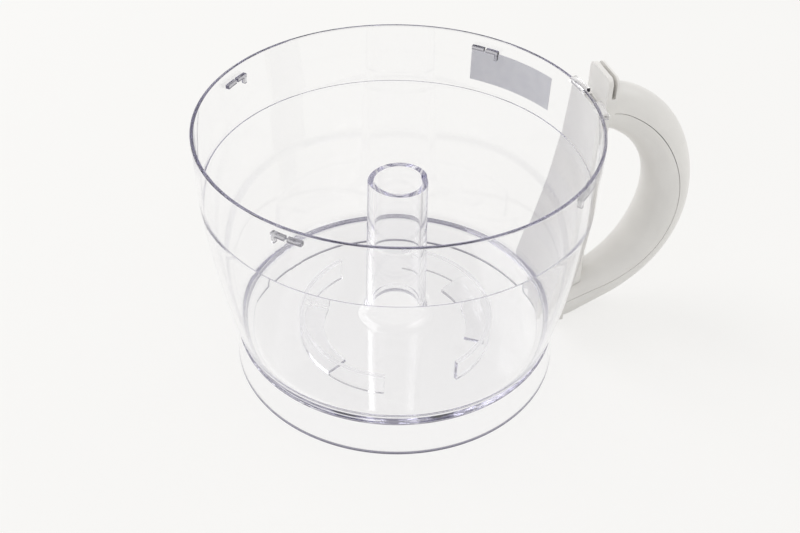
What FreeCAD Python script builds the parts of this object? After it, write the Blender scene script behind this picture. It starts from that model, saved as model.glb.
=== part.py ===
import FreeCAD, Part
import math
import os
import Sketcher

# Food processor bowl with a hollow handle and a sprung interlock rod.
# Frame: +Z up, origin on the bowl axis in the plane of the base ring, handle along +X.
# Lengths are millimetres and angles are degrees.

DRIVING_SIZES = [
    # Wall, floor and skirt of the clear bowl
    ("rim_radius", 93.0),
    ("rim_height", 132.5),
    ("band_flare", 0.7),
    ("band_height", 31.5),
    ("wall_taper", 13.0),
    ("junction_height", 19.0),
    ("wall_bow_radius", 495.0),
    ("wall_thickness", 2.2),
    ("band_thickness", 1.7),
    ("floor_rise", 2.0),
    ("floor_thickness", 2.3),
    ("floor_round", 7.0),
    ("skirt_step", 0.6),
    ("skirt_flare", 1.4),
    ("skirt_thickness", 1.9),
    # Chimney around the drive shaft
    ("chimney_height", 100.5),
    ("chimney_bore", 11.4),
    ("chimney_wall", 2.8),
    ("chimney_draft", 1.0),
    ("chimney_flare", 6.5),
    ("bore_draft", 0.5),
    ("shoulder_height", 65.0),
    ("shoulder_width", 0.9),
    ("chimney_ramp", 1.8),
    # Coupling ring under the floor
    ("coupling_radius", 49.4),
    ("coupling_thickness", 2.1),
    ("coupling_depth", 11.2),
    ("coupling_sweep", 136.0),
    ("flange_width", 10.5),
    ("flange_thickness", 1.8),
    ("flange_sweep", 64.0),
    # Lid lugs inside the rim
    ("lug_azimuth", 45.0),
    ("lug_drop", 6.5),
    ("lug_bar_thickness", 1.8),
    ("lug_bar_reach", 2.2),
    ("lug_bar_sweep", 4.2),
    ("lug_bar_spacing", 5.0),
    ("lug_stop_sweep", 0.9),
    ("lug_stop_drop", 3.2),
    # Ear on the rim and the slot for the tongue of the lid
    ("ear_gap", 0.4),
    ("ear_thickness", 2.8),
    ("ear_sweep", 23.0),
    ("tongue_slot_width", 12.4),
    # Strap against the wall
    ("bond_gap", 0.15),
    ("strap_thickness", 3.0),
    ("strap_top_half_width", 15.8),
    ("strap_foot_half_width", 25.0),
    ("strap_foot_height", 18.5),
    ("strap_corner", 6.0),
    ("strap_top_gap", 0.3),
    # Seat for the foot of the handle, low on the strap
    ("seat_depth", 9.5),
    ("seat_half_width", 10.5),
    ("seat_foot_height", 0.8),
    ("seat_rise", 22.7),
    # Rod housing and the fin with its collar
    ("housing_width", 14.0),
    ("housing_wall", 1.3),
    ("housing_foot_height", 10.0),
    ("guide_web", 14.0),
    ("fin_width", 21.0),
    ("fin_rise", 12.3),
    ("fin_thickness", 2.4),
    ("fin_corner", 3.5),
    ("fin_lip", 0.2),
    ("slot_width", 1.9),
    ("slot_depth", 10.3),
    ("collar_wall", 1.0),
    # Handle shells: the path bends twice, then runs straight down to the seat
    ("handle_drop", 7.2),
    ("handle_gap", 0.3),
    ("arm_bend_radius", 20.0),
    ("arm_turn", 25.0),
    ("grip_bend_radius", 57.1),
    ("grip_turn", 131.0),
    ("root_half_width", 8.5),
    ("grip_half_width", 14.3),
    ("foot_half_width", 9.5),
    ("root_outer_depth", 12.0),
    ("grip_outer_depth", 9.8),
    ("foot_outer_depth", 16.0),
    ("root_inner_depth", 11.6),
    ("grip_inner_depth", 13.7),
    ("foot_inner_depth", 8.3),
    ("shell_wall", 2.2),
    ("seam_gap", 0.3),
    # Interlock rod and its spring
    ("rod_thickness", 2.2),
    ("rod_width", 10.0),
    ("rod_top_drop", 3.7),
    ("rod_shoulder_height", 44.0),
    ("rod_wall_gap", 0.6),
    ("rod_clearance", 0.3),
    ("stem_radius", 1.6),
    ("stem_foot_height", 8.5),
    ("foot_hole_radius", 2.4),
    ("spring_wire_radius", 0.3),
    ("spring_turns", 6.0),
    ("spring_seat_gap", 0.05),
    ("rod_travel", 5.0),
    # Blank label on the band
    ("label_start", 19.5),
    ("label_sweep", 30.7),
    ("label_drop", 8.0),
    ("label_height", 18.0),
    ("label_thickness", 0.25),
    ("label_gap", 0.05),
]

WALL_RUNS = 3
ROUND_RUNS = 3
ARM_STATIONS = 2
GRIP_STATIONS = 8
SHELL_RUNS = 8
CAVITY_RUNS = 4
SPRING_STEPS = 10
WIRE_SIDES = 6


class Size:
    """A value together with the formula that a feature is bound to."""

    def __init__(self, value, formula):
        self.value = value
        self.formula = formula

    def __add__(self, other):
        return combined(self, "+", other, lambda a, b: a + b)

    def __radd__(self, other):
        return combined(other, "+", self, lambda a, b: a + b)

    def __sub__(self, other):
        return combined(self, "-", other, lambda a, b: a - b)

    def __rsub__(self, other):
        return combined(other, "-", self, lambda a, b: a - b)

    def __mul__(self, other):
        return combined(self, "*", other, lambda a, b: a * b)

    def __rmul__(self, other):
        return combined(other, "*", self, lambda a, b: a * b)

    def __truediv__(self, other):
        return combined(self, "/", other, lambda a, b: a / b)

    def __rtruediv__(self, other):
        return combined(other, "/", self, lambda a, b: a / b)

    def __neg__(self):
        return combined(0.0, "-", self, lambda a, b: a - b)


def as_size(number):
    if isinstance(number, Size):
        return number
    return Size(float(number), repr(float(number)))


def combined(first, sign, second, rule):
    first = as_size(first)
    second = as_size(second)
    formula = "(%s %s %s)" % (first.formula, sign, second.formula)
    return Size(rule(first.value, second.value), formula)


def root_of(square):
    return Size(math.sqrt(square.value), "sqrt(%s)" % square.formula)


def sine(angle):
    angle = as_size(angle)
    return Size(math.sin(math.radians(angle.value)), "sin(%s)" % angle.formula)


def cosine(angle):
    angle = as_size(angle)
    return Size(math.cos(math.radians(angle.value)), "cos(%s)" % angle.formula)


def angle_of(rise, run):
    """Direction of a slope in degrees."""
    value = math.degrees(math.atan2(rise.value, run.value))
    return Size(value, "(atan2(%s; %s) / 1 deg)" % (rise.formula, run.formula))


doc = FreeCAD.newDocument("food_processor_bowl")
sheet = doc.addObject("Spreadsheet::Sheet", "sizes")
for row, (alias, number) in enumerate(DRIVING_SIZES, start=1):
    sheet.set("A%d" % row, alias)
    sheet.set("B%d" % row, str(number))
    sheet.setAlias("B%d" % row, alias)
doc.recompute()


class Sizes:
    """Gives each driving size under its own name."""

    def __getattr__(self, alias):
        return Size(float(sheet.get(alias)), "sizes." + alias)


size = Sizes()


def bind(feature, field, value):
    """Set a field and tie it to the driving sizes."""
    feature.setExpression(field, as_size(value).formula)


def origin_feature(body, role):
    return [item for item in body.Origin.OriginFeatures if item.Role == role][0]


def new_body(name):
    body = doc.addObject("PartDesign::Body", name)
    body.Label = name
    return body


def place_sketch(sketch, body, plane, shift=None, turn=None):
    """Attach a sketch to an origin plane, shifted along and turned about its own axes."""
    sketch.AttachmentSupport = (origin_feature(body, plane), [""])
    sketch.MapMode = "FlatFace"
    shift = shift or {}
    base = FreeCAD.Vector(*[as_size(shift.get(axis, 0.0)).value for axis in "xyz"])
    axis, angle = turn or (FreeCAD.Vector(0, 0, 1), as_size(0.0))
    angle = as_size(angle)
    sketch.AttachmentOffset = FreeCAD.Placement(base, FreeCAD.Rotation(axis, angle.value))
    for letter, value in shift.items():
        bind(sketch, "AttachmentOffset.Base.%s" % letter, value)
    if turn:
        bind(sketch, "AttachmentOffset.Rotation.Angle", angle)


def arc_middle(start, end, radius, side):
    """Middle point of the short arc between two points, bulging to one side of the chord."""
    chord = end.sub(start)
    half = chord.Length / 2
    rise = radius - math.sqrt(radius * radius - half * half)
    normal = FreeCAD.Vector(chord.y, -chord.x, 0).normalize()
    return start.add(end).multiply(0.5).add(normal.multiply(rise * side))


def end_at(sketch, edge, point):
    """Number of the end of an edge that lies at a point."""
    near_start = sketch.getPoint(edge, 1).distanceToPoint(point) < 1e-6
    return 1 if near_start else 2


def pin_point(sketch, edge, end, x, y):
    """Hold one end of an edge at x and y, both tied to the driving sizes."""
    for kind, value, other_axis in (("DistanceX", x, -2), ("DistanceY", y, -1)):
        if value.value == 0.0:
            rule = Sketcher.Constraint("PointOnObject", edge, end, other_axis)
            sketch.addConstraint(rule)
        else:
            index = sketch.addConstraint(Sketcher.Constraint(kind, edge, end, value.value))
            bind(sketch, "Constraints[%d]" % index, value)


def draw_outline(sketch, corners, arcs=None):
    """Closed outline through the corners; arcs give radius and side of the edge after a corner."""
    arcs = arcs or {}
    corners = [(as_size(x), as_size(y)) for x, y in corners]
    points = [FreeCAD.Vector(x.value, y.value, 0) for x, y in corners]
    count = len(points)
    for number in range(count):
        start = points[number]
        end = points[(number + 1) % count]
        if number in arcs:
            radius, side = arcs[number]
            middle = arc_middle(start, end, as_size(radius).value, side)
            sketch.addGeometry(Part.Arc(start, middle, end), False)
        else:
            sketch.addGeometry(Part.LineSegment(start, end), False)
    for number in range(count):
        before = (number - 1) % count
        here = end_at(sketch, number, points[number])
        there = end_at(sketch, before, points[number])
        sketch.addConstraint(Sketcher.Constraint("Coincident", before, there, number, here))
    for number, (x, y) in enumerate(corners):
        pin_point(sketch, number, end_at(sketch, number, points[number]), x, y)
    for number, (radius, side) in arcs.items():
        radius = as_size(radius)
        index = sketch.addConstraint(Sketcher.Constraint("Radius", number, radius.value))
        bind(sketch, "Constraints[%d]" % index, radius)


def outline(body, name, plane, corners, arcs=None, shift=None, turn=None):
    sketch = body.newObject("Sketcher::SketchObject", name)
    place_sketch(sketch, body, plane, shift, turn)
    draw_outline(sketch, corners, arcs)
    return sketch


def circle(body, name, plane, x, y, radius, shift=None):
    sketch = body.newObject("Sketcher::SketchObject", name)
    place_sketch(sketch, body, plane, shift)
    centre = FreeCAD.Vector(as_size(x).value, as_size(y).value, 0)
    up = FreeCAD.Vector(0, 0, 1)
    sketch.addGeometry(Part.Circle(centre, up, as_size(radius).value), False)
    pin_point(sketch, 0, 3, as_size(x), as_size(y))
    index = sketch.addConstraint(Sketcher.Constraint("Radius", 0, as_size(radius).value))
    bind(sketch, "Constraints[%d]" % index, radius)
    return sketch


def turned(body, kind, name, sketch, sweep=360.0):
    """Revolution or groove about the bowl axis, even about its sketch."""
    feature = body.newObject("PartDesign::" + kind, name)
    feature.Profile = sketch
    feature.ReferenceAxis = (sketch, ["V_Axis"])
    feature.Midplane = True
    bind(feature, "Angle", sweep)
    sketch.Visibility = False
    return feature


def extruded(body, kind, name, sketch, length, reverse=False, both_ways=False):
    """Pad or pocket of a sketch."""
    feature = body.newObject("PartDesign::" + kind, name)
    feature.Profile = sketch
    feature.Reversed = reverse
    feature.Midplane = both_ways
    bind(feature, "Length", length)
    sketch.Visibility = False
    return feature


def patterned(body, name, originals, copies):
    """Even pattern about the bowl axis."""
    pattern = body.newObject("PartDesign::PolarPattern", name)
    pattern.Originals = originals
    pattern.Axis = (origin_feature(body, "Z_Axis"), [""])
    pattern.Angle = 360.0
    pattern.Occurrences = copies
    body.Tip = pattern
    return pattern


ABOUT_UP = FreeCAD.Vector(0, 1, 0)
ABOUT_SKETCH_X = FreeCAD.Vector(1, 0, 0)

# Levels and radii that hang on the rim, and the circle of the bowed wall

fill_radius = size.rim_radius - size.band_flare
fill_height = size.rim_height - size.band_height
wall_foot_radius = fill_radius - size.wall_taper
floor_height = size.junction_height + size.floor_rise
skirt_top_radius = wall_foot_radius + size.skirt_step
base_radius = skirt_top_radius + size.skirt_flare
bow_run = fill_radius - wall_foot_radius
bow_rise = fill_height - size.junction_height
bow_chord = root_of(bow_run * bow_run + bow_rise * bow_rise)
bow_depth = root_of(size.wall_bow_radius * size.wall_bow_radius - bow_chord * bow_chord / 4.0)
bow_centre_x = (fill_radius + wall_foot_radius) / 2.0 - bow_rise / bow_chord * bow_depth
bow_centre_z = (fill_height + size.junction_height) / 2.0 + bow_run / bow_chord * bow_depth
band_slope = (size.rim_radius - fill_radius) / (size.rim_height - fill_height)
skirt_slope = (base_radius - skirt_top_radius) / size.junction_height


def bow_radius_at(height, offset):
    """Radius of the bowed surface at a height, offset from the outside of the wall."""
    reach = size.wall_bow_radius + offset
    fall = height - bow_centre_z
    return bow_centre_x + root_of(reach * reach - fall * fall)


def band_radius_at(height, offset):
    """Radius of the straight band at a height, offset from its outside."""
    return fill_radius + (height - fill_height) * band_slope + offset


def bow_points(bottom, top, offset):
    """Points up the bowed wall, where its conical runs meet."""
    runs = range(WALL_RUNS + 1)
    heights = [bottom + (top - bottom) * (run / WALL_RUNS) for run in runs]
    return [(bow_radius_at(height, offset), height) for height in heights]


def round_points(centre_x, centre_z, radius, first, last):
    """Points around a rounded corner between two angles, where its runs meet."""
    turns = [first + (last - first) * (run / ROUND_RUNS) for run in range(ROUND_RUNS + 1)]
    return [(centre_x + radius * cosine(turn), centre_z + radius * sine(turn)) for turn in turns]


def wall_region(offset, inner_radius, bottom, top):
    """Corners of the section between a radius and the offset outside of the bowl."""
    skirt_foot = skirt_top_radius + (size.junction_height - bottom) * skirt_slope + offset
    wall_start = size.junction_height + size.skirt_step
    return [
        (inner_radius, bottom),
        (skirt_foot, bottom),
        (skirt_top_radius + offset, size.junction_height),
        *bow_points(wall_start, fill_height, offset),
        (band_radius_at(top, offset), top),
        (inner_radius, top),
    ]


# Places along +X behind the rim, from the wall outwards: rod, ear, fin and handle

rod_inner_x = size.rim_radius + size.rod_wall_gap
rod_outer_x = rod_inner_x + size.rod_thickness
rod_centre_x = (rod_inner_x + rod_outer_x) / 2.0
channel_inner_x = rod_inner_x - size.rod_clearance
channel_outer_x = rod_outer_x + size.rod_clearance
fin_inner_x = channel_outer_x + size.fin_lip
slot_inner_x = fin_inner_x + size.fin_thickness
collar_outer_x = slot_inner_x + size.slot_width + size.collar_wall
handle_root_x = collar_outer_x + size.handle_gap
handle_root_z = size.rim_height - size.handle_drop
fin_height = size.rim_height + size.fin_rise
ear_radius = fin_inner_x - size.ear_gap
ear_bottom = size.rim_height - size.ear_thickness

# Clear bowl

floor_under = floor_height - size.floor_thickness
inner_bow_radius = size.wall_bow_radius - size.wall_thickness
round_share = size.floor_round / inner_bow_radius
corner_height = ((floor_height + size.floor_round - round_share * bow_centre_z)
                 / (1.0 - round_share))
corner_radius = bow_radius_at(corner_height, -size.wall_thickness)
corner_lean = (corner_radius - bow_centre_x) / inner_bow_radius
round_centre_x = corner_radius - size.floor_round * corner_lean
round_centre_z = floor_height + size.floor_round
round_start = -angle_of(round_centre_z - corner_height, corner_radius - round_centre_x)
rim_inner_radius = size.rim_radius - size.band_thickness
band_inner_foot = fill_radius - size.band_thickness
chimney_radius = size.chimney_bore + size.chimney_wall
flare_radius = chimney_radius + size.chimney_draft + size.chimney_flare
bore_foot_radius = size.chimney_bore + size.shoulder_width + size.bore_draft

bowl = new_body("bowl_body")
bowl_corners = [
    (base_radius, 0.0),
    (skirt_top_radius, size.junction_height),
    *bow_points(size.junction_height, fill_height, 0.0),
    (size.rim_radius, size.rim_height),
    (rim_inner_radius, size.rim_height),
    (band_inner_foot, fill_height),
    *reversed(bow_points(corner_height, fill_height, -size.wall_thickness)),
    *round_points(round_centre_x, round_centre_z, size.floor_round, round_start, -90.0)[1:],
    *round_points(flare_radius, floor_height + size.chimney_flare, size.chimney_flare, -90.0, -180.0),
    (chimney_radius, size.chimney_height),
    (size.chimney_bore, size.chimney_height),
    (size.chimney_bore, size.shoulder_height + size.shoulder_width),
    (size.chimney_bore + size.shoulder_width, size.shoulder_height),
    (bore_foot_radius, floor_under),
    (skirt_top_radius - size.skirt_thickness, floor_under),
    (base_radius - size.skirt_thickness, 0.0),
]
bowl_section = outline(bowl, "bowl_section", "XZ_Plane", bowl_corners)
turned(bowl, "Revolution", "bowl_shell", bowl_section)

# The end of the chimney is two ramps, one on each side, that meet in two steps

ramp_length = chimney_radius + size.chimney_flare
ramp_middle = size.chimney_height - size.chimney_ramp / 2.0
ramp_lift = size.chimney_ramp / 2.0 * ramp_length / chimney_radius
ramp_sky = size.chimney_height + size.chimney_ramp
for name, slant, reverse in (("far_ramp", 1.0, False), ("near_ramp", -1.0, True)):
    ramp = outline(bowl, name + "_outline", "XZ_Plane", [
        (slant * ramp_length, ramp_middle + ramp_lift),
        (slant * ramp_length, ramp_sky),
        (-slant * ramp_length, ramp_sky),
        (-slant * ramp_length, ramp_middle - ramp_lift),
    ])
    extruded(bowl, "Pocket", name, ramp, ramp_length, reverse)

# Two arcs of the coupling ring, each with a flange along its lower edge

coupling_foot = floor_under - size.coupling_depth
coupling_inner = size.coupling_radius - size.coupling_thickness
root_bite = size.floor_thickness / 2.0
coupling_section = outline(bowl, "coupling_section", "XZ_Plane", [
    (coupling_inner, coupling_foot),
    (size.coupling_radius, coupling_foot),
    (size.coupling_radius, floor_under + root_bite),
    (coupling_inner, floor_under + root_bite),
])
coupling_wall = turned(bowl, "Revolution", "coupling_wall", coupling_section, size.coupling_sweep)
flange_section = outline(bowl, "flange_section", "XZ_Plane", [
    (coupling_inner - size.flange_width, coupling_foot),
    (coupling_inner + size.coupling_thickness / 2.0, coupling_foot),
    (coupling_inner + size.coupling_thickness / 2.0, coupling_foot + size.flange_thickness),
    (coupling_inner - size.flange_width, coupling_foot + size.flange_thickness),
])
coupling_flange = turned(bowl, "Revolution", "coupling_flange", flange_section, size.flange_sweep)
patterned(bowl, "coupling_arcs", [coupling_wall, coupling_flange], 2)

# Four lid lugs, each of two bars and a stop

lug_inner = rim_inner_radius - size.lug_bar_reach


def band_section(name, inner, outer, bottom, top, azimuth):
    """Upright section inside the band, turned to an azimuth."""
    return outline(bowl, name, "XZ_Plane", [
        (inner, bottom),
        (outer, bottom),
        (outer, top),
        (inner, top),
    ], turn=(ABOUT_UP, azimuth))


bar_outer = rim_inner_radius + size.band_thickness / 2.0
bar_top = size.rim_height - size.lug_drop + size.lug_bar_thickness / 2.0
bar_bottom = bar_top - size.lug_bar_thickness
lug_features = []
for name, side in (("lug_bar_left", 1.0), ("lug_bar_right", -1.0)):
    azimuth = size.lug_azimuth + side * size.lug_bar_spacing / 2.0
    bar = band_section(name + "_section", lug_inner, bar_outer, bar_bottom, bar_top, azimuth)
    lug_features.append(turned(bowl, "Revolution", name, bar, size.lug_bar_sweep))
stop_azimuth = (size.lug_azimuth - size.lug_bar_spacing / 2.0
                - size.lug_bar_sweep / 2.0 + size.lug_stop_sweep / 2.0)
stop_section = band_section(
    "lug_stop_section", lug_inner, bar_outer, bar_bottom - size.lug_stop_drop, bar_top, stop_azimuth)
lug_features.append(turned(bowl, "Revolution", "lug_stop", stop_section, size.lug_stop_sweep))
patterned(bowl, "lid_lugs", lug_features, 4)

# Ear on the outside of the rim, cut through for the tongue of the lid

ear_section = outline(bowl, "ear_section", "XZ_Plane", [
    (size.rim_radius - size.band_thickness / 2.0, ear_bottom),
    (ear_radius, ear_bottom),
    (ear_radius, size.rim_height),
    (size.rim_radius - size.band_thickness / 2.0, size.rim_height),
])
turned(bowl, "Revolution", "rim_ear", ear_section, size.ear_sweep)
slot_start = size.rim_radius + size.bond_gap
slot_reach = size.ear_thickness + size.ear_thickness + size.strap_top_gap
tongue_slot = outline(bowl, "tongue_slot_outline", "XY_Plane", [
    (slot_start, -size.tongue_slot_width / 2.0),
    (fin_inner_x, -size.tongue_slot_width / 2.0),
    (fin_inner_x, size.tongue_slot_width / 2.0),
    (slot_start, size.tongue_slot_width / 2.0),
], shift={"z": size.rim_height + size.ear_thickness})
extruded(bowl, "Pocket", "tongue_slot", tongue_slot, slot_reach)

# Path of the handle: two tangent arcs from the collar, then a straight run to the wall

path_turn = size.arm_turn + size.grip_turn
arm_end_x = handle_root_x + size.arm_bend_radius * sine(size.arm_turn)
arm_end_z = handle_root_z - size.arm_bend_radius * (1.0 - cosine(size.arm_turn))
grip_centre_x = arm_end_x - size.grip_bend_radius * sine(size.arm_turn)
grip_centre_z = arm_end_z - size.grip_bend_radius * cosine(size.arm_turn)
grip_end_x = grip_centre_x + size.grip_bend_radius * sine(path_turn)
grip_end_z = grip_centre_z + size.grip_bend_radius * cosine(path_turn)
foot_run = grip_end_x - wall_foot_radius
foot_end_z = grip_end_z - foot_run * sine(path_turn) / -cosine(path_turn)
RADIAN = 180.0 / math.pi
arm_length = size.arm_bend_radius * size.arm_turn / RADIAN
grip_length = size.grip_bend_radius * size.grip_turn / RADIAN
path_length = arm_length + grip_length + foot_run / -cosine(path_turn)
seat_reach = size.bond_gap + size.seat_depth
seat_share = (base_radius + seat_reach - wall_foot_radius) / foot_run
seat_level = foot_end_z + (grip_end_z - foot_end_z) * seat_share
seat_top = seat_level + size.seat_rise

# Strap, rod housing, seat and fin: one white moulding against the outside of the wall

spring_radius = size.stem_radius + size.rod_clearance + size.spring_wire_radius
chamber_radius = spring_radius + size.spring_wire_radius + size.rod_clearance
housing_outer_x = rod_centre_x + chamber_radius + size.housing_wall
strap_top = ear_bottom - size.strap_top_gap
strap_reach = size.strap_thickness + size.bond_gap

strap = new_body("handle_strap")
slab_start = base_radius - size.strap_foot_half_width
slab_end = size.rim_radius + 2.0 * strap_reach
strap_outline = outline(strap, "strap_outline", "YZ_Plane", [
    (-size.strap_top_half_width, strap_top),
    (-size.strap_foot_half_width, size.strap_foot_height + size.strap_corner),
    (-(size.strap_foot_half_width - size.strap_corner), size.strap_foot_height),
    (size.strap_foot_half_width - size.strap_corner, size.strap_foot_height),
    (size.strap_foot_half_width, size.strap_foot_height + size.strap_corner),
    (size.strap_top_half_width, strap_top),
], arcs={1: (size.strap_corner, 1), 3: (size.strap_corner, 1)}, shift={"z": slab_start})
extruded(strap, "Pad", "strap_slab", strap_outline, slab_end - slab_start)

# What lies beyond the thickness of the strap is cut away around the bowl axis

region_bottom = size.strap_foot_height - size.strap_corner
region_top = fin_height + size.strap_corner
beyond_radius = collar_outer_x + size.strap_foot_half_width
strap_back_corners = wall_region(strap_reach, beyond_radius, region_bottom, region_top)
strap_back = outline(strap, "strap_back_section", "XZ_Plane", strap_back_corners)
turned(strap, "Groove", "strap_back", strap_back)

seat_outline = outline(strap, "seat_outline", "YZ_Plane", [
    (-size.seat_half_width, size.seat_foot_height),
    (size.seat_half_width, size.seat_foot_height),
    (size.seat_half_width, seat_top),
    (-size.seat_half_width, seat_top),
], shift={"z": slab_start})
extruded(strap, "Pad", "handle_seat", seat_outline, slab_end - slab_start)
seat_back_corners = wall_region(seat_reach, beyond_radius, 0.0, region_top)
seat_back = outline(strap, "seat_back_section", "XZ_Plane", seat_back_corners)
turned(strap, "Groove", "seat_back", seat_back)

housing_half = size.housing_width / 2.0
housing_start = base_radius
housing_outline = outline(strap, "housing_outline", "XY_Plane", [
    (housing_start, -housing_half),
    (housing_outer_x, -housing_half),
    (housing_outer_x, housing_half),
    (housing_start, housing_half),
], shift={"z": size.housing_foot_height})
fin_foot = handle_root_z - size.root_inner_depth
housing_rise = fin_foot + size.fin_corner - size.housing_foot_height
extruded(strap, "Pad", "rod_housing", housing_outline, housing_rise)

# Fin above the collar that carries the root of the handle


def shell_points(half, depth, runs):
    """Points over one shell section, from one edge of its seam to the other."""
    turns = [180.0 * run / runs for run in range(runs + 1)]
    return [(half * cosine(turn), depth * sine(turn)) for turn in turns]


fin_half = size.fin_width / 2.0
fin_length = collar_outer_x - fin_inner_x
fin_outline = outline(strap, "fin_outline", "YZ_Plane", [
    (fin_half, fin_height - size.fin_corner),
    (fin_half - size.fin_corner, fin_height),
    (-(fin_half - size.fin_corner), fin_height),
    (-fin_half, fin_height - size.fin_corner),
    *[(-x, handle_root_z - y) for x, y in shell_points(fin_half, size.root_inner_depth, SHELL_RUNS)],
], arcs={corner: (size.fin_corner, 1) for corner in (0, 2)}, shift={"z": fin_inner_x})
extruded(strap, "Pad", "fin", fin_outline, fin_length)
neck_outline = outline(strap, "neck_outline", "YZ_Plane", [
    (-size.strap_top_half_width, fin_foot),
    (size.strap_top_half_width, fin_foot),
    (size.strap_top_half_width, strap_top),
    (-size.strap_top_half_width, strap_top),
], shift={"z": size.rim_radius - size.strap_thickness})
neck_length = fin_inner_x + size.fin_lip - size.rim_radius + size.strap_thickness
extruded(strap, "Pad", "fin_neck", neck_outline, neck_length)

# The inside of the strap follows the wall

seat_corners = wall_region(size.bond_gap, 0.0, 0.0, ear_bottom - size.strap_top_gap / 2.0)
strap_seat = outline(strap, "strap_seat_section", "XZ_Plane", seat_corners)
turned(strap, "Groove", "strap_seat", strap_seat)

# Channel for the rod, chamber for its spring and a hole for its stem

channel_half = size.rod_width / 2.0 + size.rod_clearance
channel_foot = size.housing_foot_height + size.guide_web
blade_floor = size.rod_shoulder_height - size.rod_travel - size.rod_clearance
channel_outline = outline(strap, "channel_outline", "XY_Plane", [
    (channel_inner_x, -channel_half),
    (channel_outer_x, -channel_half),
    (channel_outer_x, channel_half),
    (channel_inner_x, channel_half),
], shift={"z": size.rim_height})
extruded(strap, "Pocket", "rod_channel", channel_outline, size.rim_height - blade_floor)
chamber_outline = circle(
    strap, "chamber_outline", "XY_Plane", rod_centre_x, 0.0, chamber_radius,
    {"z": size.rod_shoulder_height})
extruded(strap, "Pocket", "spring_chamber", chamber_outline, size.rod_shoulder_height - channel_foot)
stem_hole_radius = size.stem_radius + size.rod_clearance
stem_hole = circle(
    strap, "stem_hole_outline", "XY_Plane", rod_centre_x, 0.0, stem_hole_radius, {"z": channel_foot})
extruded(strap, "Pocket", "stem_hole", stem_hole, size.guide_web + size.rod_clearance)

# Slot that parts the fin from the collar above the root of the handle

slot_outline = outline(strap, "slot_outline", "XY_Plane", [
    (slot_inner_x, -size.fin_width),
    (slot_inner_x + size.slot_width, -size.fin_width),
    (slot_inner_x + size.slot_width, size.fin_width),
    (slot_inner_x, size.fin_width),
], shift={"z": fin_height})
extruded(strap, "Pocket", "fin_slot", slot_outline, size.slot_depth)


def arm_station(turn):
    """Place, lean and share of the path after a turn of the first bend."""
    place_x = handle_root_x + size.arm_bend_radius * sine(turn)
    place_z = handle_root_z - size.arm_bend_radius * (1.0 - cosine(turn))
    return place_x, place_z, turn, size.arm_bend_radius * turn / RADIAN / path_length


def arm_stations(first):
    """Even steps of the first bend, from a first turn up to where the second bend takes over."""
    return [arm_station(first + (size.arm_turn - first) * (step / ARM_STATIONS))
            for step in range(ARM_STATIONS)]


def grip_station(number):
    """Place, lean and share of the path at one of the even steps of the second bend."""
    turn = size.grip_turn * (number / GRIP_STATIONS)
    lean = size.arm_turn + turn
    place_x = grip_centre_x + size.grip_bend_radius * sine(lean)
    place_z = grip_centre_z + size.grip_bend_radius * cosine(lean)
    share = (arm_length + size.grip_bend_radius * turn / RADIAN) / path_length
    return place_x, place_z, lean, share


grip_stations = [grip_station(number) for number in range(GRIP_STATIONS + 1)]
foot_station = (wall_foot_radius, foot_end_z, path_turn, as_size(1.0))


def along_path(root, grip, foot, share):
    """Size that runs from root to foot and reaches its grip value half way."""
    swell = sine(180.0 * share)
    return root + (foot - root) * share + (grip - (root + foot) / 2.0) * swell * swell


# Two handle shells, lofted along the path on either side of the seam


def shell_loft(body, kind, name, stations, side, depths, wall, runs):
    """Loft of half-oval sections a wall inside the surface; a cavity runs out through the seam."""
    sections = []
    for number, (place_x, place_z, lean, share) in enumerate(stations):
        half = along_path(size.root_half_width, size.grip_half_width, size.foot_half_width, share) - wall
        depth = along_path(*depths, share) - wall
        lift = 0.0 if side > 0 else -size.seam_gap
        corners = [(x, side * y + lift) for x, y in shell_points(half, depth, runs)]
        if kind == "SubtractiveLoft":
            past_seam = lift - side * size.seam_gap
            corners += [(-half, past_seam), (half, past_seam)]
        sections.append(outline(
            body, "%s_section_%d" % (name, number), "YZ_Plane", corners, None,
            {"y": place_z, "z": place_x}, (ABOUT_SKETCH_X, lean)))
    loft = body.newObject("PartDesign::" + kind, name)
    loft.Profile = sections[0]
    loft.Sections = sections[1:]
    for section in sections:
        section.Visibility = False
    return loft


def handle_shell(name, side, depths):
    """Shell that springs from the collar, curves down and runs back to its seat."""
    body = new_body(name)
    outside = [*arm_stations(as_size(0.0)), *grip_stations, foot_station]
    shell_loft(body, "AdditiveLoft", name + "_outside", outside, side, depths, 0.0, SHELL_RUNS)
    inside = [*arm_stations(size.shell_wall / size.arm_bend_radius * RADIAN), *grip_stations]
    shell_loft(
        body, "SubtractiveLoft", name + "_cavity", inside, side, depths, size.shell_wall, CAVITY_RUNS)
    end_corners = wall_region(seat_reach + size.handle_gap, 0.0, -seat_top, fin_foot)
    end_section = outline(body, name + "_end_section", "XZ_Plane", end_corners)
    turned(body, "Groove", name + "_end", end_section)
    return body


outer_shell = handle_shell(
    "handle_outer_shell", 1, (size.root_outer_depth, size.grip_outer_depth, size.foot_outer_depth))
inner_shell = handle_shell(
    "handle_inner_shell", -1, (size.root_inner_depth, size.grip_inner_depth, size.foot_inner_depth))
underside = outline(outer_shell, "underside_outline", "XY_Plane", [
    (wall_foot_radius, -size.grip_half_width),
    (grip_end_x, -size.grip_half_width),
    (grip_end_x, size.grip_half_width),
    (wall_foot_radius, size.grip_half_width),
], shift={"z": size.seat_foot_height})
extruded(outer_shell, "Pocket", "underside", underside, 2.0 * size.foot_outer_depth)

# Both shells let the stem through and take the foot of the rod housing

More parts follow.
